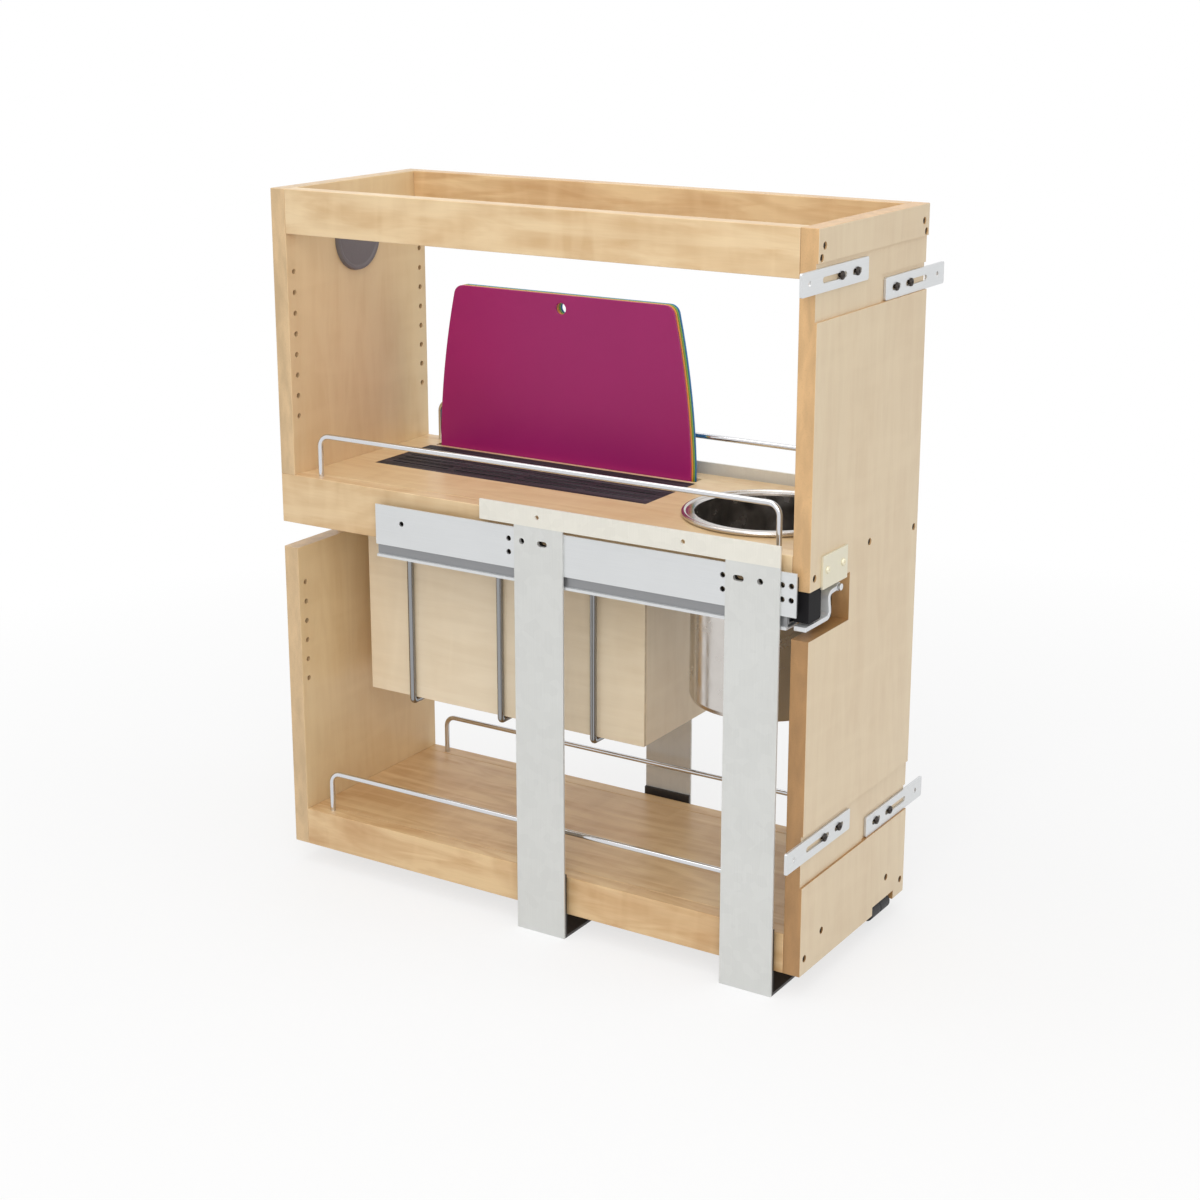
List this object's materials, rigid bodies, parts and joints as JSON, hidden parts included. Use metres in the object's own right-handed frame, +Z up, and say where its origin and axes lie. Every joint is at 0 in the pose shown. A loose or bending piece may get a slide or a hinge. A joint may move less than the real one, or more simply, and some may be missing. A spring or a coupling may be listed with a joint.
{
  "type": "pull-out cabinet organizer",
  "caption": "Narrow wooden pull-out organizer on telescopic runners, with a knife insert, a utensil bin, cutting boards and open shelves, held by floor-mounted steel leg frames.",
  "frame": {"origin": "on the cabinet floor, in the middle of the four floor screws", "axes": "+X to the right of someone facing the front, +Y from the front to the back, +Z up"},
  "size_m": [0.275, 0.5505, 0.648],
  "materials": {
    "maple": "clear lacquered maple, satin",
    "maple_panel": "clear lacquered maple plywood, satin",
    "thin_plywood": "thin plywood, satin lacquer",
    "plated_steel": "bright zinc plate",
    "grey_steel": "light grey galvanised sheet",
    "dark_steel": "black coat, satin",
    "ivory_steel": "pale yellow passivated zinc",
    "chrome": "polished chrome",
    "stainless": "polished stainless",
    "dark_screw": "black oxide",
    "black_plastic": "moulded, satin",
    "grey_plastic": "moulded, satin",
    "cage_plastic": "moulded, satin",
    "magenta_plastic": "fine textured board",
    "orange_plastic": "fine textured board",
    "green_plastic": "fine textured board",
    "blue_plastic": "fine textured board",
    "black_rubber": "matte"
  },
  "bodies": {
    "cabinet_frame": {"left_leg_frame": "grey_steel", "right_leg_frame": "grey_steel", "left_cabinet_member": "plated_steel", "right_cabinet_member": "plated_steel", "front_floor_plate": "dark_steel", "rear_floor_plate": "dark_steel", "frame_rivets": "plated_steel", "soft_close_housings": "black_plastic"},
    "runner_middles": {"left_middle_member": "plated_steel", "right_middle_member": "plated_steel"},
    "outer_cages": {"left_outer_cage": "cage_plastic", "right_outer_cage": "cage_plastic"},
    "inner_cages": {"left_inner_cage": "cage_plastic", "right_inner_cage": "cage_plastic"},
    "utensil_bin": {"utensil_bin": "stainless"},
    "knife_insert": {"knife_insert": "black_plastic"},
    "latch_lever": {"latch_lever": "plated_steel"},
    "floor_roller": {"floor_roller": "black_rubber"},
    "cutting_board_1": {"cutting_board_1": "magenta_plastic"},
    "cutting_board_2": {"cutting_board_2": "orange_plastic"},
    "cutting_board_3": {"cutting_board_3": "green_plastic"},
    "cutting_board_4": {"cutting_board_4": "blue_plastic"},
    "upper_left_door_bracket": {"upper_left_door_bracket": "plated_steel"},
    "upper_right_door_bracket": {"upper_right_door_bracket": "plated_steel"},
    "lower_left_door_bracket": {"lower_left_door_bracket": "plated_steel"},
    "lower_right_door_bracket": {"lower_right_door_bracket": "plated_steel"},
    "organizer": {"base_deck": "maple", "shelf_deck": "maple", "left_top_rail": "maple", "right_top_rail": "maple", "left_shelf_board": "maple", "right_shelf_board": "maple", "left_base_board": "maple", "right_base_board": "maple", "front_panel": "maple_panel", "back_panel": "maple_panel", "box_left_side": "thin_plywood", "box_right_side": "thin_plywood", "box_front_end": "thin_plywood", "box_rear_end": "thin_plywood", "box_bottom": "thin_plywood", "box_divider": "thin_plywood", "left_drawer_member": "plated_steel", "right_drawer_member": "plated_steel", "latch_pin": "plated_steel", "roller_axle": "plated_steel", "roller_bracket": "plated_steel", "runner_screws": "plated_steel", "latch_screws": "plated_steel", "latch_plate": "ivory_steel", "box_cradles": "chrome", "left_shelf_rod": "chrome", "right_shelf_rod": "chrome", "left_base_rod": "chrome", "right_base_rod": "chrome", "front_panel_screws": "dark_screw", "back_panel_screws": "dark_screw", "bracket_clamp_screws": "dark_screw", "latch_block": "black_plastic", "round_cap": "grey_plastic"}
  },
  "joints": [
    {"name": "pull_out", "type": "slide", "parent": "cabinet_frame", "child": "organizer", "axis": [0, -1, 0], "range_m": [0, 0.41]},
    {"name": "middle_slide", "type": "slide", "parent": "cabinet_frame", "child": "runner_middles", "axis": [0, -1, 0], "range_m": [0, 0.205]},
    {"name": "outer_cage_slide", "type": "slide", "parent": "cabinet_frame", "child": "outer_cages", "axis": [0, -1, 0], "range_m": [0, 0.1025]},
    {"name": "inner_cage_slide", "type": "slide", "parent": "cabinet_frame", "child": "inner_cages", "axis": [0, -1, 0], "range_m": [0, 0.3075]},
    {"name": "bin_lift", "type": "slide", "parent": "organizer", "child": "utensil_bin", "axis": [0, 0, 1], "range_m": [0, 0.19]},
    {"name": "insert_lift", "type": "slide", "parent": "organizer", "child": "knife_insert", "axis": [0, 0, 1], "range_m": [0, 0.03]},
    {"name": "board_1_lift", "type": "slide", "parent": "organizer", "child": "cutting_board_1", "axis": [0, 0, 1], "range_m": [0, 0.38]},
    {"name": "board_2_lift", "type": "slide", "parent": "organizer", "child": "cutting_board_2", "axis": [0, 0, 1], "range_m": [0, 0.38]},
    {"name": "board_3_lift", "type": "slide", "parent": "organizer", "child": "cutting_board_3", "axis": [0, 0, 1], "range_m": [0, 0.38]},
    {"name": "board_4_lift", "type": "slide", "parent": "organizer", "child": "cutting_board_4", "axis": [0, 0, 1], "range_m": [0, 0.38]},
    {"name": "upper_left_bracket_shift", "type": "slide", "parent": "organizer", "child": "upper_left_door_bracket", "axis": [1, 0, 0], "range_m": [-0.004, 0.004]},
    {"name": "upper_right_bracket_shift", "type": "slide", "parent": "organizer", "child": "upper_right_door_bracket", "axis": [1, 0, 0], "range_m": [-0.004, 0.004]},
    {"name": "lower_left_bracket_shift", "type": "slide", "parent": "organizer", "child": "lower_left_door_bracket", "axis": [1, 0, 0], "range_m": [-0.004, 0.004]},
    {"name": "lower_right_bracket_shift", "type": "slide", "parent": "organizer", "child": "lower_right_door_bracket", "axis": [1, 0, 0], "range_m": [-0.004, 0.004]},
    {"name": "latch_swing", "type": "hinge", "parent": "organizer", "child": "latch_lever", "pos_m": [-0.045, -0.143, 0.348], "axis": [0, -1, 0], "range_deg": [0, 6], "stiffness_Nm_per_rad": 0.02, "springref_deg": -17.19},
    {"name": "roller_spin", "type": "hinge", "parent": "organizer", "child": "floor_roller", "pos_m": [0.0595, -0.143, 0.019], "axis": [1, 0, 0], "continuous": true}
  ],
  "couplings": [
    {"joint": "middle_slide", "follows": "pull_out", "ratio": 0.5},
    {"joint": "outer_cage_slide", "follows": "pull_out", "ratio": 0.25},
    {"joint": "inner_cage_slide", "follows": "pull_out", "ratio": 0.75}
  ]
}
